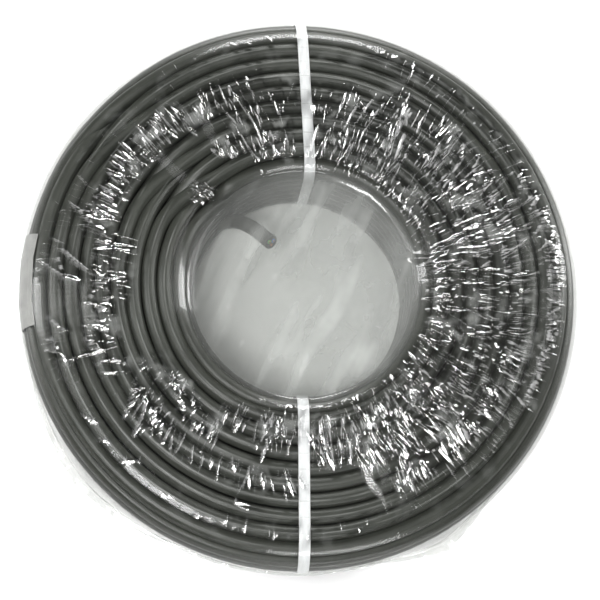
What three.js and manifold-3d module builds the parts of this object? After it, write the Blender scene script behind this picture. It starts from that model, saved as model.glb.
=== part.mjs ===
// A coil of underground power cable as it is sold: the wound cable lying flat on one end face,
// two plastic straps round the winding, a paper label on the rim, and a shrink film bag in two
// sheets that are welded round the edge. Millimetres, +Z up, origin on the floor under the bore.
import * as THREE from "three";
import { mergeVertices } from "three/addons/utils/BufferGeometryUtils.js";
import Module from "manifold-3d";

// The winding
const CABLE_DIAMETER = 12.5;
const BORE_RADIUS = 90;
const COIL_RADIUS = 228;
const COIL_HEIGHT = 112;
const BORE_CORNER_RADIUS = 22;
const RIM_CORNER_RADIUS = 30;
const TURN_ARC_STEPS = 3;
const GROOVE_ANGLE = THREE.MathUtils.degToRad(80);

// The bare inner end of the cable, which leaves the bore wall and reaches up to the film
const END_WALL_ANGLE = THREE.MathUtils.degToRad(131);
const END_WALL_HEIGHT = 50;
const END_REACH = 45;
const END_SIDE_SHIFT = 4;
const END_SIDES = 10;
const END_STEPS = 12;

// The straps
const STRAP_WIDTH = 9;
const STRAP_THICKNESS = 0.6;

// The label
const LABEL_LENGTH = 78;
const LABEL_ON_WALL = 44;
const LABEL_THICKNESS = 0.4;

// The film
const FILM_THICKNESS = 0.4;
const FILM_SAG = 14;
const FILM_MEMBRANE_STEPS = 3;
const SEAM_GAP = 0.3;
const SEAM_FIN = 2;
const FIN_SIDES = 120;
// Where the bag's corners stick out of the seam as flat ears
const EARS = [
  { angle: 300, reach: 13, spread: 13 },
  { angle: 221, reach: 10, spread: 24 },
  { angle: 145, reach: 5, spread: 16 },
  { angle: 38, reach: 5, spread: 22 },
];

// The film's main pleats over the winding, as angles round the coil and heights of their crests
const PLEATS = [
  { angle: 290, rise: 1.6 },
  { angle: 307, rise: 2.4 },
  { angle: 323, rise: 3 },
  { angle: 340, rise: 2.2 },
  { angle: 356, rise: 2.8 },
  { angle: 13, rise: 2.4 },
  { angle: 29, rise: 3 },
  { angle: 46, rise: 2.4 },
  { angle: 62, rise: 3 },
  { angle: 78, rise: 2.2 },
  { angle: 103, rise: 2.4 },
  { angle: 120, rise: 2 },
  { angle: 137, rise: 1.6 },
];
const PLEAT_WIDTH = 26;
const PLEAT_START = 112;
const PLEAT_CREST_START = 126;
const PLEAT_CREST_END = 168;
const PLEAT_END = 198;

// The gap that touching pieces keep
const CLEARANCE = 0.3;

// Straps, label and film bend round each corner of the winding in the same straight steps. The
// label ends on the rim's corner, and the film leaves the bore's corner to span the bore.
const CORNER_STEPS = 5;
const LABEL_BEND_STEPS = 3;
const LABEL_ENDS_AT = (LABEL_BEND_STEPS * Math.PI) / (2 * CORNER_STEPS);
const FILM_BORE_STEPS = 3;
const FILM_LEAVES_AT = Math.PI / 2 + (FILM_BORE_STEPS * Math.PI) / (2 * CORNER_STEPS);

// Facets round every turned piece. One facet is centred on each of +X, +Y, -X and -Y, and
// radii are measured to the middle of a facet, so flat straps lie flat on the winding.
const FACETS = 40;
const HALF_FACET = Math.PI / FACETS;

// Heights that follow from the sizes above
const CABLE_RADIUS = CABLE_DIAMETER / 2;
const FILM_STANDOFF = CLEARANCE + STRAP_THICKNESS + CLEARANCE;
const COIL_BOTTOM = FILM_THICKNESS + FILM_STANDOFF;
const COIL_TOP = COIL_BOTTOM + COIL_HEIGHT;
const MID_HEIGHT = (COIL_BOTTOM + COIL_TOP) / 2;

const wasm = await Module();
wasm.setup();

// Closed geometry to a solid for joining and cutting, and back
function toSolid(geometry) {
  const bare = geometry.index ? geometry.toNonIndexed() : geometry.clone();
  bare.deleteAttribute("normal");
  bare.deleteAttribute("uv");
  const merged = mergeVertices(bare, 1e-4);
  return new wasm.Manifold(
    new wasm.Mesh({
      numProp: 3,
      vertProperties: merged.attributes.position.array,
      triVerts: new Uint32Array(merged.index.array),
    }),
  );
}

function toGeometry(solid) {
  const mesh = solid.getMesh();
  const geometry = new THREE.BufferGeometry();
  geometry.setAttribute("position", new THREE.BufferAttribute(mesh.vertProperties, 3));
  geometry.setIndex(new THREE.BufferAttribute(mesh.triVerts, 1));
  geometry.computeVertexNormals();
  return geometry;
}

// A point of the section: radius from the coil's axis, and height
const at = (radius, height) => new THREE.Vector2(radius, height);

// Turns a section about +Z. The section runs with the solid on its left as seen with the
// radius to the right and the height up.
function turned(section) {
  const stretched = section.map((p) => at(p.x / Math.cos(HALF_FACET), p.y));
  return new THREE.LatheGeometry(stretched, FACETS, HALF_FACET).rotateX(Math.PI / 2);
}

// An arc of the section round a centre, with angles in radians from the +radius direction
function arc(centre, radius, from, to, steps) {
  return Array.from({ length: steps + 1 }, (_, i) => {
    const angle = from + ((to - from) * i) / steps;
    return at(centre.x + radius * Math.cos(angle), centre.y + radius * Math.sin(angle));
  });
}

// The same arc as straight tangents, so that no part of it dips inside the true arc. Only the
// points where two tangents meet are given.
function tangents(centre, radius, from, to, steps) {
  const half = (to - from) / steps / 2;
  return arc(centre, radius / Math.cos(half), from + half, to - half, steps - 1);
}

// The centres of the four rounded corners of the winding's section
const CORNERS = {
  rimTop: at(COIL_RADIUS - RIM_CORNER_RADIUS, COIL_TOP - RIM_CORNER_RADIUS),
  boreTop: at(BORE_RADIUS + BORE_CORNER_RADIUS, COIL_TOP - BORE_CORNER_RADIUS),
  boreBottom: at(BORE_RADIUS + BORE_CORNER_RADIUS, COIL_BOTTOM + BORE_CORNER_RADIUS),
  rimBottom: at(COIL_RADIUS - RIM_CORNER_RADIUS, COIL_BOTTOM + RIM_CORNER_RADIUS),
};
const CORNER_ORDER = [
  { centre: CORNERS.rimTop, radius: RIM_CORNER_RADIUS, from: 0 },
  { centre: CORNERS.boreTop, radius: BORE_CORNER_RADIUS, from: Math.PI / 2 },
  { centre: CORNERS.boreBottom, radius: BORE_CORNER_RADIUS, from: Math.PI },
  { centre: CORNERS.rimBottom, radius: RIM_CORNER_RADIUS, from: (3 * Math.PI) / 2 },
];

// The smooth outline of the winding's section, moved outwards by an offset
function bundleOutline(offset) {
  return CORNER_ORDER.flatMap(({ centre, radius, from }) =>
    tangents(centre, radius + offset, from, from + Math.PI / 2, CORNER_STEPS),
  );
}

// Evenly spaced turns from one place to the next, about one cable diameter apart. The turn on
// the last place is left out, because the next stretch starts there.
function spacedTurns(length, place) {
  const count = Math.max(1, Math.round(length / CABLE_DIAMETER));
  return Array.from({ length: count }, (_, i) => place(i / count));
}

// Every turn that shows on the outside of the section, as its centre and outward direction
function outerTurns() {
  return CORNER_ORDER.flatMap(({ centre, radius, from }, i) => {
    const next = CORNER_ORDER[(i + 1) % CORNER_ORDER.length];
    const reach = radius - CABLE_RADIUS;
    const endAngle = from + Math.PI / 2;
    const start = arc(centre, reach, endAngle, endAngle, 1)[0];
    const end = arc(next.centre, next.radius - CABLE_RADIUS, endAngle, endAngle, 1)[0];
    const onCorner = spacedTurns((reach * Math.PI) / 2, (share) => {
      const outward = from + (share * Math.PI) / 2;
      return { centre: arc(centre, reach, outward, outward, 1)[0], outward };
    });
    const onFace = spacedTurns(start.distanceTo(end), (share) => ({
      centre: start.clone().lerp(end, share),
      outward: endAngle,
    }));
    return [...onCorner, ...onFace];
  });
}

// The winding's section: each outer turn is a ridge, with a groove down to the next turn
function windingSection() {
  const turns = outerTurns();
  const stepAngle = (2 * GROOVE_ANGLE) / TURN_ARC_STEPS;
  const ridgeRadius = CABLE_RADIUS / Math.cos(stepAngle / 2);
  const points = turns.flatMap(({ centre, outward }, i) => {
    const next = turns[(i + 1) % turns.length];
    const ridge = arc(
      centre,
      ridgeRadius,
      outward - GROOVE_ANGLE + stepAngle,
      outward + GROOVE_ANGLE - stepAngle,
      TURN_ARC_STEPS - 2,
    );
    const here = arc(centre, CABLE_RADIUS, outward + GROOVE_ANGLE, outward, 1)[0];
    const there = arc(next.centre, CABLE_RADIUS, next.outward - GROOVE_ANGLE, next.outward, 1)[0];
    return [...ridge, here.lerp(there, 0.5)];
  });
  return [...points, points[0].clone()];
}

// Where the top sheet leaves the bore's corner, at an offset from the winding
const filmLeaves = (offset) =>
  arc(CORNERS.boreTop, BORE_CORNER_RADIUS + offset, FILM_LEAVES_AT, FILM_LEAVES_AT, 1)[0];

// Height of the top sheet where it spans the bore, at a radius and offset
function membraneHeight(radius, offset) {
  const edge = filmLeaves(offset);
  const middle = COIL_TOP + offset - FILM_SAG;
  return middle + (edge.y - middle) * (radius / edge.x) ** 2;
}

// The cable's bare inner end: out of the bore wall, round towards the axis and up to the film
function innerEnd() {
  const inward = END_WALL_ANGLE + Math.PI;
  const alongWall = END_WALL_ANGLE - Math.PI / 2;
  const wallRadius = BORE_RADIUS + CABLE_RADIUS;
  const place = (alongTurn, towardsAxis, height) =>
    new THREE.Vector3(
      wallRadius * Math.cos(END_WALL_ANGLE) +
        alongTurn * Math.cos(alongWall) +
        towardsAxis * Math.cos(inward),
      wallRadius * Math.sin(END_WALL_ANGLE) +
        alongTurn * Math.sin(alongWall) +
        towardsAxis * Math.sin(inward),
      height,
    );
  const tip = place(END_SIDE_SHIFT, END_REACH + CABLE_RADIUS, 0);
  const tipHeight =
    membraneHeight(Math.hypot(tip.x, tip.y), FILM_STANDOFF) - CLEARANCE - CABLE_RADIUS;
  tip.setZ(tipHeight);
  const climb = tipHeight - END_WALL_HEIGHT;
  const path = new THREE.CatmullRomCurve3([
    place(-3.2 * CABLE_DIAMETER, -0.5 * CABLE_RADIUS, END_WALL_HEIGHT - CABLE_RADIUS),
    place(-1.6 * CABLE_DIAMETER, 0, END_WALL_HEIGHT),
    place(-0.2 * CABLE_DIAMETER, 0.9 * CABLE_DIAMETER, END_WALL_HEIGHT + 0.2 * climb),
    place(0.7 * END_SIDE_SHIFT, 0.6 * END_REACH, END_WALL_HEIGHT + 0.6 * climb),
    tip,
  ]);
  const section = new THREE.Shape(
    Array.from({ length: END_SIDES }, (_, i) => {
      const angle = (2 * Math.PI * (i + 0.5)) / END_SIDES;
      return at(CABLE_RADIUS * Math.cos(angle), CABLE_RADIUS * Math.sin(angle));
    }),
  );
  return new THREE.ExtrudeGeometry(section, { extrudePath: path, steps: END_STEPS });
}

function cableCoil() {
  return toGeometry(toSolid(turned(windingSection())).add(toSolid(innerEnd())));
}

// One strap: a flat band that closes on itself round the winding's section, at one side
function strap() {
  const shape = new THREE.Shape(bundleOutline(CLEARANCE + STRAP_THICKNESS));
  shape.holes.push(new THREE.Path(bundleOutline(CLEARANCE)));
  const band = new THREE.ExtrudeGeometry(shape, { depth: STRAP_WIDTH, bevelEnabled: false });
  return band.translate(0, 0, -STRAP_WIDTH / 2).rotateX(Math.PI / 2);
}

// One face of the label in section, up the rim's wall and round on to its top corner
function labelFace(offset) {
  const bend = [CORNERS.rimTop, RIM_CORNER_RADIUS + offset];
  const wallFoot = at(COIL_RADIUS + offset, CORNERS.rimTop.y - LABEL_ON_WALL);
  const end = arc(...bend, LABEL_ENDS_AT, LABEL_ENDS_AT, 1)[0];
  return [wallFoot, ...tangents(...bend, 0, LABEL_ENDS_AT, LABEL_BEND_STEPS), end];
}

// The label: a sheet bent round the rim on the -X side, cut out of a full turn by a wedge
function label() {
  const outside = labelFace(CLEARANCE + LABEL_THICKNESS);
  const inside = labelFace(CLEARANCE).reverse();
  const band = turned([...outside, ...inside, outside[0].clone()]);
  const reach = 2 * COIL_RADIUS;
  const side = reach * Math.tan(LABEL_LENGTH / 2 / COIL_RADIUS);
  const wedge = new THREE.ExtrudeGeometry(
    new THREE.Shape([at(0, 0), at(-reach, side), at(-reach, -side)]),
    { depth: 2 * COIL_TOP, bevelEnabled: false },
  );
  return toGeometry(toSolid(band).intersect(toSolid(wedge)));
}

// One face of the top sheet in section, from the axis out over the winding to the seam
function filmFace(offset, seamHeight) {
  const edge = filmLeaves(offset);
  const membrane = Array.from({ length: FILM_MEMBRANE_STEPS }, (_, i) => {
    const radius = (edge.x * i) / FILM_MEMBRANE_STEPS;
    return at(radius, membraneHeight(radius, offset));
  });
  const overBore = tangents(
    CORNERS.boreTop,
    BORE_CORNER_RADIUS + offset,
    FILM_LEAVES_AT,
    Math.PI / 2,
    FILM_BORE_STEPS,
  );
  const overRim = tangents(
    CORNERS.rimTop,
    RIM_CORNER_RADIUS + offset,
    Math.PI / 2,
    0,
    CORNER_STEPS,
  );
  return [...membrane, edge, ...overBore, ...overRim, at(COIL_RADIUS + offset, seamHeight)];
}

// How far the welded seam stands off the film at an angle round the coil
function finReach(angle) {
  return EARS.reduce((reach, ear) => {
    const centre = THREE.MathUtils.degToRad(ear.angle);
    const away = Math.atan2(Math.sin(angle - centre), Math.cos(angle - centre));
    const share = Math.abs(away) / THREE.MathUtils.degToRad(ear.spread);
    return Math.max(reach, SEAM_FIN + ear.reach * Math.max(0, 1 - share));
  }, SEAM_FIN);
}

// The flat fin of one sheet at the seam, with the bag's ears, cut out round the winding
function seamFin(height) {
  const wallMiddle = COIL_RADIUS + FILM_STANDOFF + FILM_THICKNESS / 2;
  const outline = Array.from({ length: FIN_SIDES }, (_, i) => {
    const angle = (2 * Math.PI * i) / FIN_SIDES;
    const radius = wallMiddle + finReach(angle);
    return at(radius * Math.cos(angle), radius * Math.sin(angle));
  });
  const plate = new THREE.ExtrudeGeometry(new THREE.Shape(outline), {
    depth: FILM_THICKNESS,
    bevelEnabled: false,
  }).translate(0, 0, height);
  const hole = turned([
    at(0, 0),
    at(wallMiddle, 0),
    at(wallMiddle, 2 * COIL_TOP),
    at(0, 2 * COIL_TOP),
  ]);
  return toSolid(plate).subtract(toSolid(hole));
}

// One main pleat: a low ridge on the top sheet that runs outwards and tapers at both ends
function pleat({ angle, rise }) {
  const foot = COIL_TOP + FILM_STANDOFF + FILM_THICKNESS / 2;
  const crest = COIL_TOP + FILM_STANDOFF + FILM_THICKNESS + rise;
  const side = PLEAT_WIDTH / 2;
  const ridge = wasm.Manifold.hull([
    [PLEAT_START, 0, foot],
    [PLEAT_CREST_START, -side, foot],
    [PLEAT_CREST_START, side, foot],
    [PLEAT_CREST_END, -side, foot],
    [PLEAT_CREST_END, side, foot],
    [PLEAT_END, 0, foot],
    [PLEAT_CREST_START, 0, crest],
    [PLEAT_CREST_END, 0, crest],
  ]);
  return ridge.rotate([0, 0, angle]);
}

function filmTopSheet() {
  const seamHeight = MID_HEIGHT + SEAM_GAP / 2;
  const outside = filmFace(FILM_STANDOFF + FILM_THICKNESS, seamHeight);
  const inside = filmFace(FILM_STANDOFF, seamHeight);
  const shell = turned([...inside, ...outside.reverse()]);
  return toGeometry(wasm.Manifold.union([toSolid(shell), seamFin(seamHeight), ...PLEATS.map(pleat)]));
}

// The bottom sheet is the top sheet without its pleats, reflected in the seam's plane
function filmBottomSheet() {
  const seamHeight = MID_HEIGHT + SEAM_GAP / 2;
  const below = (points) => points.map((p) => at(p.x, 2 * MID_HEIGHT - p.y));
  const outside = below(filmFace(FILM_STANDOFF + FILM_THICKNESS, seamHeight));
  const inside = below(filmFace(FILM_STANDOFF, seamHeight));
  const shell = turned([...outside, ...inside.reverse()]);
  const finHeight = 2 * MID_HEIGHT - seamHeight - FILM_THICKNESS;
  return toGeometry(toSolid(shell).add(seamFin(finHeight)));
}

function named(name, geometry, material) {
  const mesh = new THREE.Mesh(geometry, material);
  mesh.name = name;
  return mesh;
}

const sheath = new THREE.MeshStandardMaterial({ color: 0x3b3e3a, roughness: 0.55, metalness: 0 });
const strapping = new THREE.MeshStandardMaterial({ color: 0xd6d7d8, roughness: 0.4, metalness: 0 });
const paper = new THREE.MeshStandardMaterial({ color: 0xd2d2d0, roughness: 0.8, metalness: 0 });
const film = new THREE.MeshStandardMaterial({
  color: 0xe9ecea,
  roughness: 0.12,
  metalness: 0,
  transparent: true,
  opacity: 0.25,
});

const coil = new THREE.Group();
coil.add(named("cable_coil", cableCoil(), sheath));
for (const [name, quarterTurn] of [["strap_far", 1], ["strap_near", -1]]) {
  const band = named(name, strap(), strapping);
  band.rotation.z = (quarterTurn * Math.PI) / 2;
  coil.add(band);
}
coil.add(named("label", label(), paper));
coil.add(named("film_top_sheet", filmTopSheet(), film));
coil.add(named("film_bottom_sheet", filmBottomSheet(), film));

export default coil;
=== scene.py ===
# The looks of a coil of underground power cable: the wound cable, its straps and label, and the
# wrinkled shrink film bag round them. Metres, +Z up, the coil's axis on +Z, floor at height 0.
import math

import bpy
import numpy as np
from mathutils import Matrix, Vector


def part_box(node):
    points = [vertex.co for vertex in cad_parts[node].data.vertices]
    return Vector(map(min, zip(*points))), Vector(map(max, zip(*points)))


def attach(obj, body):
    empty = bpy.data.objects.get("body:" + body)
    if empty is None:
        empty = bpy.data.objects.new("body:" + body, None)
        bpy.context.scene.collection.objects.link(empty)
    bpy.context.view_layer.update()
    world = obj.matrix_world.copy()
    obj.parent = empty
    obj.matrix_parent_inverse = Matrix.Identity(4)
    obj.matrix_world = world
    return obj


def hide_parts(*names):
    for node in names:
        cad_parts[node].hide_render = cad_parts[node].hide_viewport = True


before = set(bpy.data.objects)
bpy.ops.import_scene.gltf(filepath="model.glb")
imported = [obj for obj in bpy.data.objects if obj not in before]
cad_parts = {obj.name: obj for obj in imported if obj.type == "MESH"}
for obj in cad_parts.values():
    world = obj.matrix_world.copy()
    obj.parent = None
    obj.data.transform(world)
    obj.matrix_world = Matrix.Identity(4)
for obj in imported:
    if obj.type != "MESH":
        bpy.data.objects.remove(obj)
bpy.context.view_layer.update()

MM = 0.001

# The winding, as in the part
CABLE_DIAMETER = 12.5 * MM
CABLE_RADIUS = CABLE_DIAMETER / 2
BORE_RADIUS = 90 * MM
BORE_CORNER_RADIUS = 22 * MM
RIM_CORNER_RADIUS = 30 * MM
COIL_LOW, COIL_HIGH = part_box("cable_coil")
COIL_RADIUS = COIL_HIGH.x
COIL_BOTTOM = COIL_LOW.z
COIL_TOP = COIL_HIGH.z
MID_HEIGHT = (COIL_BOTTOM + COIL_TOP) / 2
# Centres of the rounded corners of its section at the top, as (radius, height)
BORE_CORNER = (BORE_RADIUS + BORE_CORNER_RADIUS, COIL_TOP - BORE_CORNER_RADIUS)
RIM_CORNER = (COIL_RADIUS - RIM_CORNER_RADIUS, COIL_TOP - RIM_CORNER_RADIUS)

# The film, as in the part, with the offset from the winding to the middle of the film
HALF_FILM = 0.2 * MM
FILM_OFFSET = COIL_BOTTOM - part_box("film_bottom_sheet")[0].z - HALF_FILM
SEAM_RISE = 0.3 * MM
FILM_SAG = 14 * MM
FILM_LEAVES_AT = math.radians(144)

# Where the turns step from one place to the next, by angle round the coil
ZONE_CENTRE = math.radians(143)
ZONE_WIDTH = math.radians(34)
ZONE_END = ZONE_CENTRE + ZONE_WIDTH / 2

TAU = 2 * math.pi


# Small tools

def smoothstep(t):
    """0 to 1 with a soft start and end."""
    t = np.clip(t, 0, 1)
    return t * t * (3 - 2 * t)


def angle_between(angle, centre):
    """How far an angle is from a centre, signed, the short way round."""
    return (angle - centre + math.pi) % TAU - math.pi


def arc(centre, radius, start, end, steps):
    """Points round a centre in the section from one angle to another, as (radius, height)."""
    turns = [start + (end - start) * step / steps for step in range(steps + 1)]
    return [(centre[0] + radius * math.cos(turn), centre[1] + radius * math.sin(turn))
            for turn in turns]


class WrappedNoise:
    """Smooth random values from 0 to 1 over angle, where they wrap, and a second share 0 to 1."""

    def __init__(self, seed, around, along):
        self.around = around
        self.along = along
        self.lattice = np.random.default_rng(seed).random((along + 2, around))

    def __call__(self, angle, share):
        u = (np.asarray(angle) / TAU) % 1 * self.around
        v = np.clip(share, 0, 1) * self.along
        column = np.floor(u).astype(int) % self.around
        row = np.minimum(np.floor(v).astype(int), self.along)
        a = smoothstep(u - np.floor(u))
        b = smoothstep(v - row)
        right = (column + 1) % self.around
        low = self.lattice[row, column] * (1 - a) + self.lattice[row, right] * a
        high = self.lattice[row + 1, column] * (1 - a) + self.lattice[row + 1, right] * a
        return low * (1 - b) + high * b


def mesh_piece(name, points, faces, material, uvs=None, replaces=()):
    """A smooth mesh on the root body. uvs holds one pair for each corner of each face, in order."""
    mesh = bpy.data.meshes.new(name)
    face_lists = faces.tolist() if isinstance(faces, np.ndarray) else faces
    mesh.from_pydata(np.asarray(points).tolist(), [], face_lists)
    mesh.polygons.foreach_set("use_smooth", [True] * len(mesh.polygons))
    if uvs is not None:
        layer = mesh.uv_layers.new(name="UVMap")
        layer.data.foreach_set("uv", np.asarray(uvs, np.float32).ravel())
    mesh.update()
    piece = bpy.data.objects.new(name, mesh)
    bpy.context.scene.collection.objects.link(piece)
    mesh.materials.append(material)
    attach(piece, "root")
    if replaces:
        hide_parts(*replaces)
    return piece


# Node tools for materials

class Nodes:
    """A material's node tree, built node by node."""

    def __init__(self, name):
        self.material = bpy.data.materials.new(name)
        self.material.use_nodes = True
        self.tree = self.material.node_tree
        self.tree.nodes.clear()
        self.output = self.add("ShaderNodeOutputMaterial")

    def add(self, kind, inputs=None, **settings):
        node = self.tree.nodes.new(kind)
        for key, value in settings.items():
            setattr(node, key, value)
        for key, value in (inputs or {}).items():
            socket = node.inputs[key]
            if isinstance(value, bpy.types.NodeSocket):
                self.tree.links.new(value, socket)
            else:
                socket.default_value = value
        return node

    def math(self, operation, *values, clamp=False):
        node = self.add("ShaderNodeMath", operation=operation, use_clamp=clamp)
        for socket, value in zip(node.inputs, values):
            if isinstance(value, bpy.types.NodeSocket):
                self.tree.links.new(value, socket)
            else:
                socket.default_value = value
        return node.outputs[0]

    def noise(self, vector, scale, detail=2.0, roughness=0.5):
        node = self.add(
            "ShaderNodeTexNoise",
            {"Vector": vector, "Scale": scale, "Detail": detail, "Roughness": roughness},
        )
        return node.outputs["Fac"]

    def smooth_range(self, value, start, end, low=0.0, high=1.0):
        """Low up to the start, high from the end on, and smooth between them."""
        node = self.add(
            "ShaderNodeMapRange",
            {"Value": value, "From Min": start, "From Max": end, "To Min": low, "To Max": high},
            interpolation_type="SMOOTHSTEP",
        )
        return node.outputs["Result"]

    def stretched(self, vector, factors):
        node = self.add("ShaderNodeVectorMath", {0: vector, 1: factors}, operation="MULTIPLY")
        return node.outputs[0]

    def ramp(self, value, *stops):
        """A colour ramp from (position, colour) stops."""
        node = self.add("ShaderNodeValToRGB", {"Fac": value})
        elements = node.color_ramp.elements
        while len(elements) < len(stops):
            elements.new(0.5)
        for element, (position, colour) in zip(elements, stops):
            element.position = position
            element.color = (*colour, 1)
        return node.outputs["Color"]

    def bump(self, height, strength, distance, normal=None):
        inputs = {"Height": height, "Strength": strength, "Distance": distance}
        if normal is not None:
            inputs["Normal"] = normal
        return self.add("ShaderNodeBump", inputs).outputs["Normal"]

    def finish(self, shader):
        self.tree.links.new(shader, self.output.inputs["Surface"])
        return self.material

    def solid(self, colour, roughness, normal, **more):
        """The finished material of a solid surface."""
        inputs = {"Base Color": colour, "Roughness": roughness, "Normal": normal, **more}
        return self.finish(self.add("ShaderNodeBsdfPrincipled", inputs).outputs["BSDF"])


# Noise cells per metre of the sheath, across and along the cable, and its shades
SHEATH_LINES = (2600.0, 9.0, 1.0)
SHEATH_STREAKS = (420.0, 2.5, 1.0)
SHEATH_MOTTLE = (120.0, 45.0, 1.0)
SHEATH_SHADES = (
    (0.3, (0.030, 0.032, 0.027)),
    (0.52, (0.044, 0.047, 0.040)),
    (0.75, (0.064, 0.067, 0.058)),
)


def sheath_material():
    """Extruded dark olive-grey plastic: fine lines along the cable and faint mottling."""
    nodes = Nodes("cable_sheath")
    uv = nodes.add("ShaderNodeTexCoord").outputs["UV"]
    lines = nodes.noise(nodes.stretched(uv, SHEATH_LINES), 1.0, 3.0, 0.6)
    streaks = nodes.noise(nodes.stretched(uv, SHEATH_STREAKS), 1.0, 2.0)
    mottle = nodes.noise(nodes.stretched(uv, SHEATH_MOTTLE), 1.0, 4.0, 0.6)
    shade = nodes.math("ADD", nodes.math("MULTIPLY", streaks, 0.5), nodes.math("MULTIPLY", mottle, 0.5))
    colour = nodes.ramp(shade, *SHEATH_SHADES)
    roughness = nodes.math("MULTIPLY_ADD", mottle, 0.2, 0.25)
    fine = nodes.bump(lines, 0.35, 0.4 * MM)
    normal = nodes.bump(streaks, 0.35, 1.2 * MM, fine)
    return nodes.solid(colour, roughness, normal)


# Grain of moulded plastic: cells per metre, depth, and how dark the painted shade in its hollows is
GRAIN_CELLS = 900.0
GRAIN_DEPTH = 0.15 * MM
GRAIN_PAINTED_SHADE = 0.85


def plain_plastic(name, colour, roughness):
    """A moulded plastic with a faint grain and painted shade in the grain's hollows, for the cores inside
    a cut end.
    """
    nodes = Nodes(name)
    place = nodes.add("ShaderNodeTexCoord").outputs["Object"]
    grain = nodes.noise(place, GRAIN_CELLS, 3.0)
    # painted shade: the grain's hollows are coloured darker
    painted_hollow_tone = tuple(GRAIN_PAINTED_SHADE * c for c in colour)
    shade = nodes.ramp(grain, (0.3, painted_hollow_tone), (0.7, colour))
    return nodes.solid(shade, roughness, nodes.bump(grain, 0.5, GRAIN_DEPTH))


SAW_LINES = (4000.0, 900.0, 900.0)
COPPER_SHADES = ((0.3, (0.62, 0.30, 0.17)), (0.7, (0.85, 0.47, 0.30)))


def copper_material():
    """Bright cut copper with the saw's fine lines."""
    nodes = Nodes("cut_copper")
    place = nodes.add("ShaderNodeTexCoord").outputs["Object"]
    lines = nodes.noise(nodes.stretched(place, SAW_LINES), 1.0, 2.0)
    colour = nodes.ramp(lines, *COPPER_SHADES)
    return nodes.solid(colour, 0.32, nodes.bump(lines, 0.4, 0.1 * MM), Metallic=1.0)


RIB_SPACING = 0.9 * MM
STRAP_FIBRES = (5200.0, 40.0, 1.0)
STRAP_CLOUDS = (260.0, 60.0, 1.0)
STRAP_SHADES = ((0.3, (0.66, 0.67, 0.68)), (0.7, (0.82, 0.83, 0.84)))


def strapping_material():
    """White polypropylene strapping: fine ribs along the band and a milky gloss."""
    nodes = Nodes("strapping")
    uv = nodes.add("ShaderNodeTexCoord").outputs["UV"]
    place = nodes.add("ShaderNodeSeparateXYZ", {"Vector": uv})
    across = nodes.math("MULTIPLY", place.outputs["X"], TAU / RIB_SPACING)
    ribs = nodes.math("SINE", across)
    fibres = nodes.noise(nodes.stretched(uv, STRAP_FIBRES), 1.0, 2.0)
    clouds = nodes.noise(nodes.stretched(uv, STRAP_CLOUDS), 1.0, 3.0)
    colour = nodes.ramp(clouds, *STRAP_SHADES)
    normal = nodes.bump(fibres, 0.3, 0.2 * MM, nodes.bump(ribs, 0.6, 0.12 * MM))
    return nodes.solid(colour, 0.36, normal, **{"Coat Weight": 0.15})


PAPER_SHADES = ((0.3, (0.24, 0.24, 0.235)), (0.7, (0.36, 0.36, 0.35)))
PAPER_FIBRES = 1400.0
PAPER_CLOUDS = 90.0


def paper_material():
    """Bare label stock, light grey and matt, with faint fibres."""
    nodes = Nodes("label_paper")
    place = nodes.add("ShaderNodeTexCoord").outputs["Object"]
    fibres = nodes.noise(place, PAPER_FIBRES, 4.0, 0.7)
    clouds = nodes.noise(place, PAPER_CLOUDS, 3.0)
    shade = nodes.math("MULTIPLY_ADD", clouds, 0.6, nodes.math("MULTIPLY", fibres, 0.4))
    colour = nodes.ramp(shade, *PAPER_SHADES)
    return nodes.solid(colour, 0.75, nodes.bump(fibres, 0.4, 0.1 * MM))


# Milkiness of the film where it touches the turns, and where it spans the bore from left to right. Over
# the bore it is partly real milkiness and partly painted light, which brightens the shaded bore more on
# the right than on the left
HAZE_TOUCHING = 0.001
BORE_MILK_AND_LIGHT_LEFT = 0.13
BORE_MILK_AND_LIGHT_RIGHT = 0.28
BORE_LIGHT_GRADE_FROM = -0.7 * BORE_RADIUS
BORE_LIGHT_GRADE_TO = 0.5 * BORE_RADIUS

# Painted light: slanting streaks of haze in the film over the bore, standing in for soft streaks of
# light, with their haze, slant and cells per metre across and along
PAINTED_STREAK_HAZE = 0.2
PAINTED_STREAK_SLANT = math.radians(26)
PAINTED_STREAK_CELLS = (48.0, 11.0, 1.0)

# Painted highlights: pale lines of haze over the tops of the turns, standing in for their sheen, and
# cells per metre of their patches
TURN_HIGHLIGHT_HAZE = 0.2
TURN_HIGHLIGHT_HALF_WIDTH = 0.8 * MM
TURN_HIGHLIGHT_PATCHES = 38.0

# Painted sheen: milky blotches among the folds that stand in for soft reflections, and clouds in all
# haze, with their cells per metre
SHEEN_BLOTCH_HAZE = 0.26
SHEEN_BLOTCH_CELLS = 55.0
CLOUD_CELLS = 22.0

# Fine creases that run outwards, only in the shading: cells round the coil and per metre
# outwards, how far and how often they wander, their width as a share of the noise, and height
CREASE_CELLS_ROUND = 30.0
CREASE_CELLS_OUT = 24.0
CREASE_WANDER = 2.6
WANDER_CELLS = 16.0
CREASE_SHARE = 0.075
CREASE_BUMP = 0.5 * MM

# Gloss of the film where it lies tight and where it is creased, as a roughness and as the number
# of faces that reflect one behind another, and the share that free film adds
SOFT_ROUGHNESS = 0.13
SHARP_ROUGHNESS = 0.08
TIGHT_FACES = 0.45
CREASED_FACES = 3.4
FREE_FACES = 0.4
FILM_IOR = 1.5

MILK_COLOUR = (0.80, 0.82, 0.79, 1)
CLEAR_COLOUR = (0.97, 0.975, 0.965, 1)
MILK_LET_THROUGH = 0.4


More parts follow.
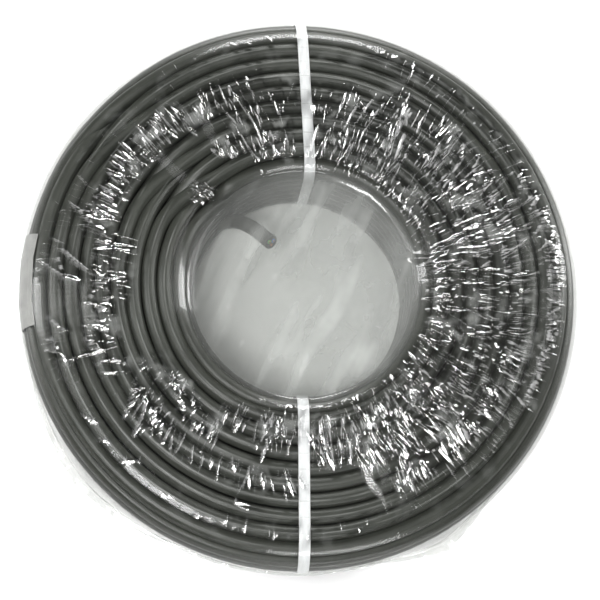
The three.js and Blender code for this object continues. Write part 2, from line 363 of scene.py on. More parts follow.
def painted_turn_highlights(nodes, place, radius):
    """A broken thin ring of haze over the top of each turn of the winding's end face: a painted highlight
    along the turns.
    """
    first = BORE_CORNER[0]
    last = RIM_CORNER[0]
    pitch = (last - first) / round((last - first) / CABLE_DIAMETER)
    turns = nodes.math("ADD", nodes.math("DIVIDE", nodes.math("SUBTRACT", radius, first), pitch), 0.5)
    off = nodes.math("ABSOLUTE", nodes.math("SUBTRACT", nodes.math("FRACT", turns), 0.5))
    # painted highlight: pale haze over each turn's top
    line = nodes.smooth_range(off, 0.0, TURN_HIGHLIGHT_HALF_WIDTH / pitch, TURN_HIGHLIGHT_HAZE, 0.0)
    patches = nodes.add(
        "ShaderNodeMapRange",
        {"Value": nodes.noise(place, TURN_HIGHLIGHT_PATCHES, 2.0), "From Min": 0.35, "From Max": 0.65},
    ).outputs["Result"]
    on_face = nodes.math("MULTIPLY", nodes.math("GREATER_THAN", radius, first - pitch / 2),
                         nodes.math("LESS_THAN", radius, last + pitch / 2))
    return nodes.math("MULTIPLY", nodes.math("MULTIPLY", line, patches), on_face)


def bore_milk_and_painted_light(nodes, place):
    """Haze of the free film, partly real milkiness and partly painted light: less towards the left of the
    bore and more towards the right, with painted soft slanting light streaks.
    """
    side = nodes.add("ShaderNodeSeparateXYZ", {"Vector": place}).outputs["X"]
    # partly real milkiness, partly painted light: brighter towards the right over the bore
    across = nodes.smooth_range(side, BORE_LIGHT_GRADE_FROM, BORE_LIGHT_GRADE_TO, BORE_MILK_AND_LIGHT_LEFT, BORE_MILK_AND_LIGHT_RIGHT)
    slanted = nodes.add(
        "ShaderNodeVectorRotate", {"Vector": place, "Angle": PAINTED_STREAK_SLANT}, rotation_type="Z_AXIS"
    ).outputs[0]
    # painted light: soft slanting streaks of haze over the bore
    level = nodes.noise(nodes.stretched(slanted, PAINTED_STREAK_CELLS), 1.0, 2.0, 0.5)
    streaks = nodes.smooth_range(level, 0.5, 0.74, 0.0, PAINTED_STREAK_HAZE)
    return nodes.math("ADD", across, streaks)


def outward_creases(nodes, place, radius, outward, amount):
    """Bump of thin lines that run outwards, from noise over the angle and the radius."""
    wander = nodes.add(
        "ShaderNodeTexNoise", {"Vector": place, "Scale": WANDER_CELLS, "Detail": 1.0}
    ).outputs["Color"]
    circle = nodes.stretched(outward, (CREASE_CELLS_ROUND, CREASE_CELLS_ROUND, 0.0))
    outer = nodes.add(
        "ShaderNodeCombineXYZ", {"Z": nodes.math("MULTIPLY", radius, CREASE_CELLS_OUT)}
    ).outputs[0]
    polar = nodes.add("ShaderNodeVectorMath", {0: circle, 1: outer}, operation="ADD").outputs[0]
    bent = nodes.add(
        "ShaderNodeVectorMath", {0: nodes.stretched(wander, (CREASE_WANDER,) * 3), 1: polar},
        operation="ADD",
    ).outputs[0]
    off = nodes.math("ABSOLUTE", nodes.math("SUBTRACT", nodes.noise(bent, 1.0, 0.0), 0.5))
    crest = nodes.smooth_range(off, 0.0, CREASE_SHARE, 1.0, 0.0)
    return nodes.bump(nodes.math("MULTIPLY", crest, amount), 0.6, CREASE_BUMP)


def film_haze_and_painted_light(nodes, place, radius, amount, stand_off):
    """How milky the film is, with painted light laid in: where it spans the bore, on the turns and among
    the folds.
    """
    patchy = nodes.math("MULTIPLY_ADD", nodes.noise(place, CLOUD_CELLS, 3.0, 0.6), 1.2, 0.4)
    free_milk_and_painted_light = nodes.math("MULTIPLY", stand_off, bore_milk_and_painted_light(nodes, place))
    milk_and_painted_light = nodes.math("MULTIPLY", patchy, nodes.math("ADD", free_milk_and_painted_light, HAZE_TOUCHING))
    milk_and_painted_light = nodes.math("ADD", milk_and_painted_light, painted_turn_highlights(nodes, place, radius))
    # painted sheen: milky blotches among the folds
    painted_sheen_blotch = nodes.smooth_range(nodes.noise(place, SHEEN_BLOTCH_CELLS, 2.0, 0.6), 0.53, 0.72, 0.0, SHEEN_BLOTCH_HAZE)
    return nodes.math("MULTIPLY_ADD", painted_sheen_blotch, amount, milk_and_painted_light)


def film_material(name):
    """Clear shrink film: see-through, glossy by Fresnel, creased, and milky where it spans the
    bore, with painted light laid into its milkiness there and on the turns. Each sheet's mesh
    says how pleated, creased and free of the winding it is."""
    nodes = Nodes(name)
    place = nodes.add("ShaderNodeTexCoord").outputs["Object"]
    flat = nodes.stretched(place, (1.0, 1.0, 0.0))
    radius = nodes.add("ShaderNodeVectorMath", {0: flat}, operation="LENGTH").outputs["Value"]
    outward = nodes.add("ShaderNodeVectorMath", {0: flat}, operation="NORMALIZE").outputs[0]
    amount = nodes.add("ShaderNodeAttribute", attribute_name="pleated").outputs["Fac"]
    stand_off = nodes.add("ShaderNodeAttribute", attribute_name="stand_off").outputs["Fac"]
    creased = nodes.add("ShaderNodeAttribute", attribute_name="creased").outputs["Fac"]
    normal = outward_creases(nodes, place, radius, outward, amount)
    milk_and_painted_light = film_haze_and_painted_light(nodes, place, radius, amount, stand_off)
    milk = nodes.add("ShaderNodeBsdfDiffuse", {"Color": MILK_COLOUR})
    glow = nodes.add("ShaderNodeBsdfTranslucent", {"Color": MILK_COLOUR})
    cloudy = nodes.add(
        "ShaderNodeMixShader", {0: MILK_LET_THROUGH, 1: milk.outputs[0], 2: glow.outputs[0]}
    )
    clear = nodes.add("ShaderNodeBsdfTransparent", {"Color": CLEAR_COLOUR})
    body = nodes.add("ShaderNodeMixShader", {0: milk_and_painted_light, 1: clear.outputs[0], 2: cloudy.outputs[0]})
    roughness = nodes.math("MULTIPLY_ADD", creased, SHARP_ROUGHNESS - SOFT_ROUGHNESS, SOFT_ROUGHNESS)
    gloss = nodes.add(
        "ShaderNodeBsdfGlossy", {"Color": (1, 1, 1, 1), "Roughness": roughness, "Normal": normal}
    )
    fresnel = nodes.add("ShaderNodeFresnel", {"IOR": FILM_IOR, "Normal": normal}).outputs[0]
    faces = nodes.math("MULTIPLY_ADD", creased, CREASED_FACES - TIGHT_FACES, TIGHT_FACES)
    faces = nodes.math("MULTIPLY_ADD", stand_off, FREE_FACES, faces)
    several_faces = nodes.math("MULTIPLY", fresnel, faces, clamp=True)
    surface = nodes.add(
        "ShaderNodeMixShader", {0: several_faces, 1: body.outputs[0], 2: gloss.outputs[0]}
    )
    return nodes.finish(surface.outputs[0])


# The winding's section, with how far round a corner's arc the turns beside each wall lie

BORE_BEND = math.radians(45)
RIM_BEND = math.radians(30)
RIM_STEP = math.radians(60)


def layer_slots():
    """Centres of the turns in the section as (radius, height), layer by layer from the bore,
    each layer from the bottom up. Layers that end on a rounded corner follow its arc."""
    inner = BORE_RADIUS + CABLE_RADIUS
    outer = COIL_RADIUS - CABLE_RADIUS
    bore_arc = BORE_CORNER_RADIUS - CABLE_RADIUS
    rim_arc = RIM_CORNER_RADIUS - CABLE_RADIUS
    low = COIL_BOTTOM + CABLE_RADIUS
    high = COIL_TOP - CABLE_RADIUS
    face_start = inner + bore_arc
    face_end = outer - rim_arc
    steps = round((face_end - face_start) / CABLE_DIAMETER)
    layers = [wall_with_bend(inner, 1, bore_arc, BORE_BEND, low, high)]
    for step in range(steps + 1):
        layers.append(wall_column(face_start + (face_end - face_start) * step / steps, low, high))
    drop = rim_arc * (1 - math.sin(RIM_STEP))
    layers.append(wall_column(outer - rim_arc * (1 - math.cos(RIM_STEP)), low + drop, high - drop))
    layers.append(wall_with_bend(outer, -1, rim_arc, RIM_BEND, low, high))
    return layers


def wall_column(radius, low, high):
    """Turns one above another, as close to a cable's diameter apart as fits."""
    count = round((high - low) / CABLE_DIAMETER) + 1
    return [(radius, low + (high - low) * i / (count - 1)) for i in range(count)]


def wall_with_bend(wall, inwards, arc, tilt, low, high):
    """The turns of a wall, with one more on the corner's arc below and above it."""
    column = wall_column(wall, low + arc, high - arc)
    radius = wall + inwards * arc * (1 - math.cos(tilt))
    rise = arc * math.sin(tilt)
    return [(radius, low + arc - rise), *column, (radius, high - arc + rise)]


def winding_order():
    """The slots in the order in which the cable fills them, with True where it can be seen."""
    layers = layer_slots()
    order = []
    for index, layer in enumerate(layers):
        ends = {0, len(layer) - 1}
        seen = [index in (0, len(layers) - 1) or i in ends for i in range(len(layer))]
        column = list(zip(layer, seen))
        if index == 0:
            # the inner end leaves the wall half way up
            start = len(column) // 2 - 1
            column = column[start:] + column[:start][::-1]
        elif index % 2 == 0:
            column = column[::-1]
        order += column
    return order


# The cable

END_WALL_ANGLE = math.radians(131)
END_WALL_HEIGHT = 50 * MM
END_REACH = 45 * MM
END_SIDE_SHIFT = 4 * MM
END_UNDER_FILM = 1.2 * MM
OUTER_END_ANGLE = math.radians(98)
INNER_END_STEPS = 8
INNER_END_BLEND = math.radians(4)
SEEN_STEPS = 120
HIDDEN_STEPS = 44
CABLE_SIDES = 12
CROSSING_RISE = 1.2 * MM
WANDER = 0.7 * MM
# Shares of the winding's depth and height within which a turn counts as beside a wall or a face
NEAR_WALL = 0.1
NEAR_FACE = 0.15

WANDER_OUT = WrappedNoise(11, 13, 40)
WANDER_UP = WrappedNoise(12, 11, 40)
OWN_WANDER = WrappedNoise(13, 9, 400)


def membrane_height(radius):
    """Height of the film's top sheet where it spans the bore, before its wrinkles."""
    edge_radius = BORE_CORNER[0] + (BORE_CORNER_RADIUS + FILM_OFFSET) * math.cos(FILM_LEAVES_AT)
    edge_height = BORE_CORNER[1] + (BORE_CORNER_RADIUS + FILM_OFFSET) * math.sin(FILM_LEAVES_AT)
    middle = COIL_TOP + FILM_OFFSET - FILM_SAG
    return middle + (edge_height - middle) * (radius / edge_radius) ** 2


def end_place(along_turn, towards_axis, height):
    """A point near the inner end, measured from where it leaves the bore wall."""
    inward = END_WALL_ANGLE + math.pi
    along = END_WALL_ANGLE - math.pi / 2
    wall = BORE_RADIUS + CABLE_RADIUS
    return np.array([
        wall * math.cos(END_WALL_ANGLE) + along_turn * math.cos(along) + towards_axis * math.cos(inward),
        wall * math.sin(END_WALL_ANGLE) + along_turn * math.sin(along) + towards_axis * math.sin(inward),
        height,
    ])


def inner_end_points():
    """The bare end from its tip down to the bore wall, as points of a smooth curve."""
    tip = end_place(END_SIDE_SHIFT, END_REACH + CABLE_RADIUS, 0)
    tip[2] = membrane_height(math.hypot(tip[0], tip[1])) - CABLE_RADIUS - END_UNDER_FILM
    climb = tip[2] - END_WALL_HEIGHT
    return [
        tip,
        end_place(0.7 * END_SIDE_SHIFT, 0.6 * END_REACH, END_WALL_HEIGHT + 0.6 * climb),
        end_place(-0.2 * CABLE_DIAMETER, 0.9 * CABLE_DIAMETER, END_WALL_HEIGHT + 0.2 * climb),
        end_place(-1.6 * CABLE_DIAMETER, 0, END_WALL_HEIGHT),
    ]


def catmull_rom(points, steps):
    """A smooth curve through the points, with this many steps between neighbours."""
    padded = [2 * points[0] - points[1], *points, 2 * points[-1] - points[-2]]
    curve = []
    for a, b, c, d in zip(padded, padded[1:], padded[2:], padded[3:]):
        for t in np.arange(steps) / steps:
            curve.append(0.5 * (2 * b + (c - a) * t + (2 * a - 5 * b + 4 * c - d) * t * t
                                + (3 * b - a - 3 * c + d) * t ** 3))
    curve.append(points[-1])
    return curve


def turn_point(slot, next_slot, angle, share, turn):
    """A point of one turn, share 0 in its own slot and 1 in the next one."""
    blend = float(smoothstep(share))
    radius = slot[0] + (next_slot[0] - slot[0]) * blend
    height = slot[1] + (next_slot[1] - slot[1]) * blend
    crossing = math.sin(math.pi * blend) * CROSSING_RISE
    sideways = abs(next_slot[0] - slot[0]) > abs(next_slot[1] - slot[1])
    if sideways:
        height += crossing * (1 if height > MID_HEIGHT else -1)
    depth = (radius - BORE_RADIUS) / (COIL_RADIUS - BORE_RADIUS)
    level = (height - COIL_BOTTOM) / (COIL_TOP - COIL_BOTTOM)
    own = float(OWN_WANDER(angle, turn / 100)) - 0.5
    # turns wander together, and never out past the outline
    out = WANDER * (2 * float(WANDER_OUT(angle, depth)) - 1 + 0.6 * own)
    up = WANDER * (float(WANDER_UP(angle, depth)) + 0.5 * own) * (-1 if level > 0.5 else 1)
    near_wall = min(depth, 1 - depth) < NEAR_WALL
    radius += -abs(out) * (1 if depth > 0.5 else -1) if near_wall else out
    height += up if min(level, 1 - level) < NEAR_FACE else 0
    return [radius * math.cos(angle), radius * math.sin(angle), height]


def cable_path():
    """The whole cable as one line of points, from its inner end to its outer end."""
    order = winding_order()
    points = catmull_rom(inner_end_points(), INNER_END_STEPS)[:-1]
    stay = TAU - ZONE_WIDTH
    for turn, (slot, seen) in enumerate(order):
        last = turn == len(order) - 1
        following, next_seen = order[turn + 1] if not last else (slot, seen)
        steps = SEEN_STEPS if seen or next_seen else HIDDEN_STEPS
        for step in range(steps):
            turned = TAU * step / steps
            angle = ZONE_END + turned
            if turn == 0 and turned < INNER_END_BLEND:
                continue
            if last and turned > (OUTER_END_ANGLE - ZONE_END) % TAU:
                break
            share = (turned - stay) / ZONE_WIDTH
            points.append(turn_point(slot, following, angle, max(0, share), turn))
    return np.array(points)


def sweep(points, radius, sides):
    """Rings of points round a path, with its tangents."""
    tangents = np.gradient(points, axis=0)
    tangents /= np.linalg.norm(tangents, axis=1, keepdims=True)
    side = np.cross(tangents, [0, 0, 1])
    side /= np.linalg.norm(side, axis=1, keepdims=True)
    up = np.cross(side, tangents)
    turn = TAU * np.arange(sides) / sides
    rings = (points[:, None, :]
             + radius * np.cos(turn)[None, :, None] * side[:, None, :]
             + radius * np.sin(turn)[None, :, None] * up[:, None, :])
    return rings, tangents


def cable():
    """The cable as one swept tube, with its two cut ends."""
    path = cable_path()
    rings, tangents = sweep(path, CABLE_RADIUS, CABLE_SIDES)
    count = len(path)
    length = np.concatenate([[0], np.cumsum(np.linalg.norm(np.diff(path, axis=0), axis=1))])
    i = np.repeat(np.arange(count - 1), CABLE_SIDES)
    j = np.tile(np.arange(CABLE_SIDES), count - 1)
    k = (j + 1) % CABLE_SIDES
    faces = np.stack([i * CABLE_SIDES + j, i * CABLE_SIDES + k,
                      (i + 1) * CABLE_SIDES + k, (i + 1) * CABLE_SIDES + j], 1)
    around = TAU * CABLE_RADIUS / CABLE_SIDES
    uvs = np.stack([
        np.stack([j * around, length[i]], 1),
        np.stack([(j + 1) * around, length[i]], 1),
        np.stack([(j + 1) * around, length[i + 1]], 1),
        np.stack([j * around, length[i + 1]], 1),
    ], 1)
    mesh_piece("cable", rings.reshape(-1, 3), faces, SHEATH, uvs, ["cable_coil"])
    cut_end("inner_end", path[0], -tangents[0])
    cut_end("outer_end", path[-1], tangents[-1])
    print("cable length in metres:", round(float(length[-1]), 2), "turns:", len(winding_order()))


def turned_section(name, place, axis, section, sides, material, shift=(0, 0)):
    """A round solid turned from (radius, distance along the axis) points, at a place."""
    across = Vector(axis).orthogonal().normalized()
    other = Vector(axis).cross(across)
    centre = Vector(place) + across * shift[0] + other * shift[1]
    points = []
    for radius, along in section:
        for s in range(sides):
            turn = TAU * s / sides
            points.append(centre + radius * (across * math.cos(turn) + other * math.sin(turn))
                          + Vector(axis) * along)
    faces = [[r * sides + s, r * sides + (s + 1) % sides, (r + 1) * sides + (s + 1) % sides,
              (r + 1) * sides + s] for r in range(len(section) - 1) for s in range(sides)]
    faces.append(list(range(sides))[::-1])
    faces.append([(len(section) - 1) * sides + s for s in range(sides)])
    mesh_piece(name, [tuple(p) for p in points], faces, material)


# The cable's section, as a sawn end shows it
END_SIDES = 24
END_CHAMFER = 0.5 * MM
SHEATH_INSIDE = CABLE_RADIUS - 1.6 * MM
FILLER_RADIUS = CABLE_RADIUS - 1.7 * MM
CORE_RADIUS = 1.75 * MM
CORE_OFFSET = 2.25 * MM
CORE_TURN = 0.5
COPPER_RADIUS = 0.9 * MM
CORE_SIDES = 18


def cut_end(name, place, outward):
    """The sawn end of the cable: sheath and filler, three cores and their copper."""
    axis = Vector(outward)
    turned_section(
        f"{name}_sheath", place, axis,
        [(CABLE_RADIUS, -END_CHAMFER), (CABLE_RADIUS, 0), (CABLE_RADIUS - END_CHAMFER, END_CHAMFER),
         (SHEATH_INSIDE, END_CHAMFER)], END_SIDES, SHEATH)
    turned_section(
        f"{name}_filler", place, axis,
        [(FILLER_RADIUS, 0), (FILLER_RADIUS, 0.7 * MM), (0.4 * MM, 0.9 * MM)], END_SIDES, FILLER)
    for index, colour in enumerate(CORE_COLOURS):
        turn = TAU * index / len(CORE_COLOURS) + CORE_TURN
        shift = (CORE_OFFSET * math.cos(turn), CORE_OFFSET * math.sin(turn))
        turned_section(
            f"{name}_core_{index + 1}", place, axis,
            [(CORE_RADIUS, 0), (CORE_RADIUS, 1.1 * MM), (1.6 * MM, 1.25 * MM)], CORE_SIDES, colour, shift)
        turned_section(
            f"{name}_copper_{index + 1}", place, axis,
            [(COPPER_RADIUS, 0.5 * MM), (COPPER_RADIUS, 1.45 * MM), (0.8 * MM, 1.5 * MM)],
            CORE_SIDES, COPPER, shift)


# Straps

STRAP_WIDTH = 9 * MM
STRAP_THICKNESS = 0.6 * MM
STRAP_GAP = 0.3 * MM
STRAP_STEP = 2.5 * MM
STRAP_WELD = 28 * MM
WELD_LAP = 0.25 * STRAP_THICKNESS
WALL_BAND = 2 * MM
# The band's outer face in section: share of its half width, and share of its thickness
STRAP_SECTION = [(-1, 0.5), (-0.86, 1), (0, 1), (0.86, 1), (1, 0.5)]
CORNER_STEPS = 12


def section_loop(offset, spacing):
    """The winding's smooth outline moved out by an offset, as (radius, height), closed."""
    corners = [
        (RIM_CORNER, RIM_CORNER_RADIUS),
        (BORE_CORNER, BORE_CORNER_RADIUS),
        ((BORE_CORNER[0], COIL_BOTTOM + BORE_CORNER_RADIUS), BORE_CORNER_RADIUS),
        ((RIM_CORNER[0], COIL_BOTTOM + RIM_CORNER_RADIUS), RIM_CORNER_RADIUS),
    ]
    sparse = []
    for quarter, (centre, corner) in enumerate(corners):
        start = quarter * math.pi / 2
        sparse += arc(centre, corner + offset, start, start + math.pi / 2, CORNER_STEPS)
    sparse.append(sparse[0])
    sparse = np.array(sparse)
    length = np.concatenate([[0], np.cumsum(np.linalg.norm(np.diff(sparse, axis=0), axis=1))])
    samples = np.linspace(0, length[-1], round(length[-1] / spacing) + 1)[:-1]
    return np.stack([np.interp(samples, length, sparse[:, 0]),
                     np.interp(samples, length, sparse[:, 1])], 1)


def strap(name, node, side, shift_at_rim, shift_at_bore):
    """A flat band round the winding's section, with its lapped weld on the rim."""
    across = np.array([x for x, _ in STRAP_SECTION]) * STRAP_WIDTH / 2
    edge = np.array([thick for _, thick in STRAP_SECTION]) * STRAP_THICKNESS
    line = section_loop(STRAP_GAP, STRAP_STEP)
    count = len(line)
    ahead = np.roll(line, -1, axis=0) - np.roll(line, 1, axis=0)
    normal = np.stack([ahead[:, 1], -ahead[:, 0]], 1)
    normal /= np.linalg.norm(normal, axis=1, keepdims=True)
    points = []
    for (radius, height), (out, up) in zip(line, normal):
        lean = (radius - BORE_RADIUS) / (COIL_RADIUS - BORE_RADIUS)
        shift = shift_at_bore + (shift_at_rim - shift_at_bore) * lean
        on_weld = radius > COIL_RADIUS - WALL_BAND and abs(height - MID_HEIGHT) < STRAP_WELD / 2
        lap = WELD_LAP if on_weld else 0
        for x, thick in zip(across, edge):
            points.append((x + shift, side * (radius + out * (thick + lap)), height + up * (thick + lap)))
        for x in across[::-1]:
            points.append((x + shift, side * radius, height))
    ring = 2 * len(across)
    faces = []
    uvs = []
    reach = np.concatenate([across, across[::-1]])
    for i in range(count):
        for j in range(ring):
            k = (j + 1) % ring
            n = (i + 1) % count
            face = [i * ring + j, i * ring + k, n * ring + k, n * ring + j]
            corners = [(reach[j], i * STRAP_STEP), (reach[k], i * STRAP_STEP),
                       (reach[k], (i + 1) * STRAP_STEP), (reach[j], (i + 1) * STRAP_STEP)]
            if side < 0:
                face.reverse()
                corners.reverse()
            faces.append(face)
            uvs.append(corners)
    mesh_piece(name, points, faces, STRAPPING, uvs, [node])


# The film bag

MEMBRANE_STEPS = 20
BORE_ARC_STEPS = 24
RIM_ARC_STEPS = 30
TANGENT_STEP = 1.5 * MM


class FilmProfile:
    """The top sheet in section from the axis out to the seam, by distance along it."""

    def __init__(self):
        points = arc(BORE_CORNER, BORE_CORNER_RADIUS + FILM_OFFSET, FILM_LEAVES_AT, math.pi / 2,
                     BORE_ARC_STEPS)
        edge = points[0][0]
        membrane = [(edge * i / MEMBRANE_STEPS, membrane_height(edge * i / MEMBRANE_STEPS))
                    for i in range(MEMBRANE_STEPS)]
        points += arc(RIM_CORNER, RIM_CORNER_RADIUS + FILM_OFFSET, math.pi / 2, 0, RIM_ARC_STEPS)
        points.append((COIL_RADIUS + FILM_OFFSET, MID_HEIGHT + SEAM_RISE))
        self.points = np.array(membrane + points)
        steps = np.linalg.norm(np.diff(self.points, axis=0), axis=1)
        self.length = np.concatenate([[0], np.cumsum(steps)])
        self.total = float(self.length[-1])
        self.bore_edge = float(self.length[MEMBRANE_STEPS])
        face_start = float(self.length[MEMBRANE_STEPS + BORE_ARC_STEPS])
        self.face_end = face_start + RIM_CORNER[0] - BORE_CORNER[0]

    def place(self, distance):
        """Radius and height at a distance along the section."""
        return (np.interp(distance, self.length, self.points[:, 0]),
                np.interp(distance, self.length, self.points[:, 1]))

    def at(self, distance):
        """Radius, height and the direction away from the winding at a distance."""
        radius, height = self.place(distance)
        behind = self.place(np.clip(distance - TANGENT_STEP, 0, self.total))
        ahead = self.place(np.clip(distance + TANGENT_STEP, 0, self.total))
        dr = ahead[0] - behind[0]
        dz = ahead[1] - behind[1]
        size = np.hypot(dr, dz)
        return radius, height, -dz / size, dr / size


PROFILE = FilmProfile()

# The film's main pleats over the winding, as in the part: (angle, height of the crest)
MAIN_PLEATS = [(290, 1.6), (307, 2.4), (323, 3.0), (340, 2.2), (356, 2.8), (13, 2.4), (29, 3.0),
               (46, 2.4), (62, 3.0), (78, 2.2), (103, 2.4), (120, 2.0), (137, 1.6)]
MAIN_PLEAT_WIDTH = 26 * MM
MAIN_PLEAT_START = 112 * MM
MAIN_PLEAT_CREST = (126 * MM, 168 * MM)
MAIN_PLEAT_END = 198 * MM

# Fields of small folds, laid side by side like pleats. Each is the angles from and to, the radii
# from and to and the spacing in mm, the lean from the outward direction in degrees, and the
# height of the folds in mm.
FOLD_FIELDS = [
    (61, 87, 99, 138, 2.8, 0, 1.2),
    (62, 87, 134, 172, 3.0, 4, 1.1),
    (93, 112, 100, 136, 2.8, -4, 1.2),
    (92, 118, 134, 172, 3.2, 0, 1.0),
    (18, 60, 98, 130, 3.4, 12, 1.2),
    (14, 64, 124, 156, 3.2, 20, 1.3),
    (18, 66, 150, 184, 2.9, 32, 1.1),
    (-22, 16, 104, 134, 2.9, 4, 1.2),
    (-24, 20, 130, 158, 2.9, -8, 1.2),
    (-22, 22, 154, 186, 3.2, 14, 1.1),
    (-70, -22, 102, 134, 3.2, -14, 1.2),
    (-72, -22, 130, 162, 2.9, 10, 1.3),
    (-66, -18, 158, 188, 3.3, -20, 1.1),
    (-89, -72, 100, 150, 4.5, 6, 1.0),
    (104, 167, 156, 184, 3.3, -10, 1.3),
    (112, 123, 118, 138, 3.0, 10, 1.2),
    (134, 142, 101, 118, 3.0, 0, 1.2),
    (166, 186, 136, 170, 6.0, 30, 1.0),
    (186, 206, 150, 176, 5.0, -20, 1.2),
    (206, 217, 124, 146, 4.0, 10, 1.1),
    (213, 226, 142, 174, 3.2, 40, 1.3),
    (216, 229, 116, 140, 2.6, 60, 1.3),
    (229, 240, 132, 150, 2.8, 8, 1.2),
    (237, 246, 110, 130, 2.6, 0, 1.3),
    (252, 268, 98, 138, 3.4, 0, 1.1),
    (226, 268, 150, 172, 8.0, 25, 1.0),
    (-30, 72, 188, 214, 8.0, 48, 0.6),
    (-30, 72, 188, 214, 9.0, -50, 0.6),
    (72, 150, 188, 214, 18.0, 40, 0.5),
    (150, 330, 186, 214, 22.0, -35, 0.6),
]

# Single creases of the top sheet: from and to as (x, y), half width and height, in mm
SINGLE_FOLDS = [
    ((-195, 27), (-172, 7), 1.1, 1.6), ((-174, 9), (-156, 1), 1.2, 1.5),
    ((-160, 1), (-136, -1), 1.4, 1.4), ((-188, 64), (-174, 51), 1.2, 1.5),
    ((-178, 51), (-156, 50), 1.4, 1.4), ((-168, 31), (-134, 23), 2.4, 1.4),
    ((-190, 4), (-175, -1), 2.0, 1.6), ((-196, 20), (-188, -2), 1.0, 1.2),
    ((-172, -46), (-158, -57), 1.5, 1.5), ((-163, -43), (-160, -61), 1.3, 1.3),
    ((-181, -63), (-157, -57), 1.0, 1.0), ((-201, -46), (-186, -64), 0.9, 1.0),
    ((-197, -54), (-182, -71), 0.9, 0.9), ((-215, 4), (-208, -9), 0.9, 0.9),
    ((-55, -172), (-31, -179), 1.6, 1.7), ((-53, -170), (-36, -142), 0.8, 0.8),
    ((-34, -143), (-26, -126), 1.5, 1.8), ((-132, -124), (-121, -108), 1.6, 1.6),
    ((-115, -115), (-109, -108), 1.6, 1.5), ((-115, -96), (-101, -83), 1.0, 1.4),
    ((-161, -141), (-111, -188), 0.9, 0.9), ((-150, -156), (-118, -186), 0.9, 0.8),
    ((-108, 142), (-84, 118), 2.2, 1.8), ((-86, 150), (-78, 132), 2.0, 1.7),
    ((86, 60), (116, 92), 0.9, 1.3), ((88, 52), (128, 84), 1.0, 1.4),
    ((100, 30), (122, 36), 1.4, 1.4), ((104, 22), (128, 44), 1.0, 1.4),
    ((148, -30), (176, -64), 1.4, 1.3), ((158, 33), (164, 0), 2.6, 1.4),
    ((140, 60), (150, 20), 2.8, 1.4), ((120, 100), (136, 70), 3.0, 1.3),
    ((-8, 150), (30, 146), 3.0, 1.2), ((118, -70), (96, -120), 2.6, 1.4),
    ((70, -140), (110, -132), 2.4, 1.4), ((176, 98), (186, 70), 1.0, 1.0),
]
# Soft edge of a field: its inset and width, in degrees round the coil and in mm outwards, and the
# spacing in mm up to which a field counts as close
FIELD_INSET = (2, 3)
FIELD_EDGE = (5, 6)
CLOSE_SPACING = 4.5

# Widths and heights of the wrinkles, and from where on the slow swell of the bag is full
FOLD_WIDTH = 0.95 * MM
FINE_FOLD = 0.30 * MM
FINE_WARP = 0.08
SWELL_HEIGHT = 1.1 * MM
SWELL_START = 60 * MM

# Unevenness of the folds in a field: ranges of their steps, gaps and sizes as shares, chance and
# spread of an odd lean, the usual spread in degrees, the chance of a gap, the spread of their
# places in mm, and of their bow as a share
STEP_RANGE = (0.5, 1.3)
GAP_RANGE = (0.5, 1.5)
LENGTH_RANGE = (0.4, 1.3)
WIDTH_RANGE = (0.8, 1.35)
RISE_RANGE = (0.45, 1.35)
ODD_LEAN_CHANCE = 0.25
ODD_LEAN = 28
USUAL_LEAN = 9
GAP_CHANCE = 0.12
PLACE_SPREAD = 2
BOW_SPREAD = 0.06

# Broad soft folds of the top sheet over the bore: from and to as (x, y), half width and height, in mm
BORE_FOLDS = [
    ((-41, 40), (-33, -6), 4.0, 1.6), ((-30, 30), (-26, -18), 3.2, 1.3),
    ((54, 6), (29, -40), 4.0, 1.7), ((3, -50), (-7, -78), 3.2, 1.4),
    ((72, 26), (103, 20), 2.2, 1.7), ((44, 84), (70, 30), 3.2, 1.8),
    ((10, 62), (24, 16), 5.0, 1.4), ((-6, 14), (6, 2), 2.2, 0.9),
    ((30, 50), (46, 22), 5.0, 1.4), ((58, -30), (70, -40), 3.5, 1.2),
    ((-60, -12), (-72, -30), 4.0, 1.3), ((-50, -40), (-56, -58), 3.2, 1.2),
]

# Height of a fold at which the film counts as fully creased, and the distances from the axis
# between which creases show: each as where it ends and how softly, in mm
CREASE_HEIGHT = 0.45 * MM
CREASES_TO = (216, 16)
CREASES_FROM = (92, 8)

# Where the bag's corners stand off the rim as ears: (angle, reach, half width in degrees)
EARS = [(300, 13 * MM, 13), (221, 10 * MM, 24), (145, 5 * MM, 16), (38, 5 * MM, 22)]
EAR_ON_SHEET = 0.5
SEAM_FIN = 2 * MM
FIN_SHARES = (0.4, 0.8, 1.0)
FIN_SWING = 1.6 * MM
EAR_SWING = 0.4
FLOOR_GAP = 0.1 * MM

# Where the film counts as free of the winding: a little past the bore's edge, with a soft end,
# and by how far it rises or sticks out as an ear
FREE_PAST_EDGE = 12 * MM
FREE_FADE = 20 * MM
FREE_RISE = 120 * MM
FREE_RISE_MOST = 0.02
FREE_EAR = 30 * MM

# How pleated, creased and free of the winding the fin and the middle of a sheet count as
FIN_ATTRIBUTES = (0.25, 0.5, 0.5)
CENTRE_ATTRIBUTES = (0.0, 0.0, 1.0)


def ridged(value, sharpness):
    """1 on a noise's middle level, falling off on both sides: a crest along every such line."""
    return (1 - np.abs(2 * value - 1)) ** sharpness


class Fold:
    """A crease along a line on the film laid out flat, (x, y) to (x, y)."""

    def __init__(self, start, end, width, rise, bow=0.0):
        self.middle = (np.array(start) + np.array(end)) / 2
        run = np.array(end) - np.array(start)
        self.half = float(np.hypot(*run)) / 2
        self.ahead = run / (2 * self.half)
        self.width = width
        self.rise = rise
        self.bow = bow
        near = min(np.hypot(*start), np.hypot(*end), np.hypot(*self.middle))
        far = max(np.hypot(*start), np.hypot(*end))
        self.span = (near - 4 * width, far + 4 * width)

    def height(self, x, y):
        dx = x - self.middle[0]
        dy = y - self.middle[1]
        run = (dx * self.ahead[0] + dy * self.ahead[1]) / self.half
        off = dy * self.ahead[0] - dx * self.ahead[1] - self.bow * (1 - run * run)
        taper = np.clip(1 - run * run, 0, 1)
        return taper * self.rise / (1 + (off / self.width) ** 2) ** 1.5


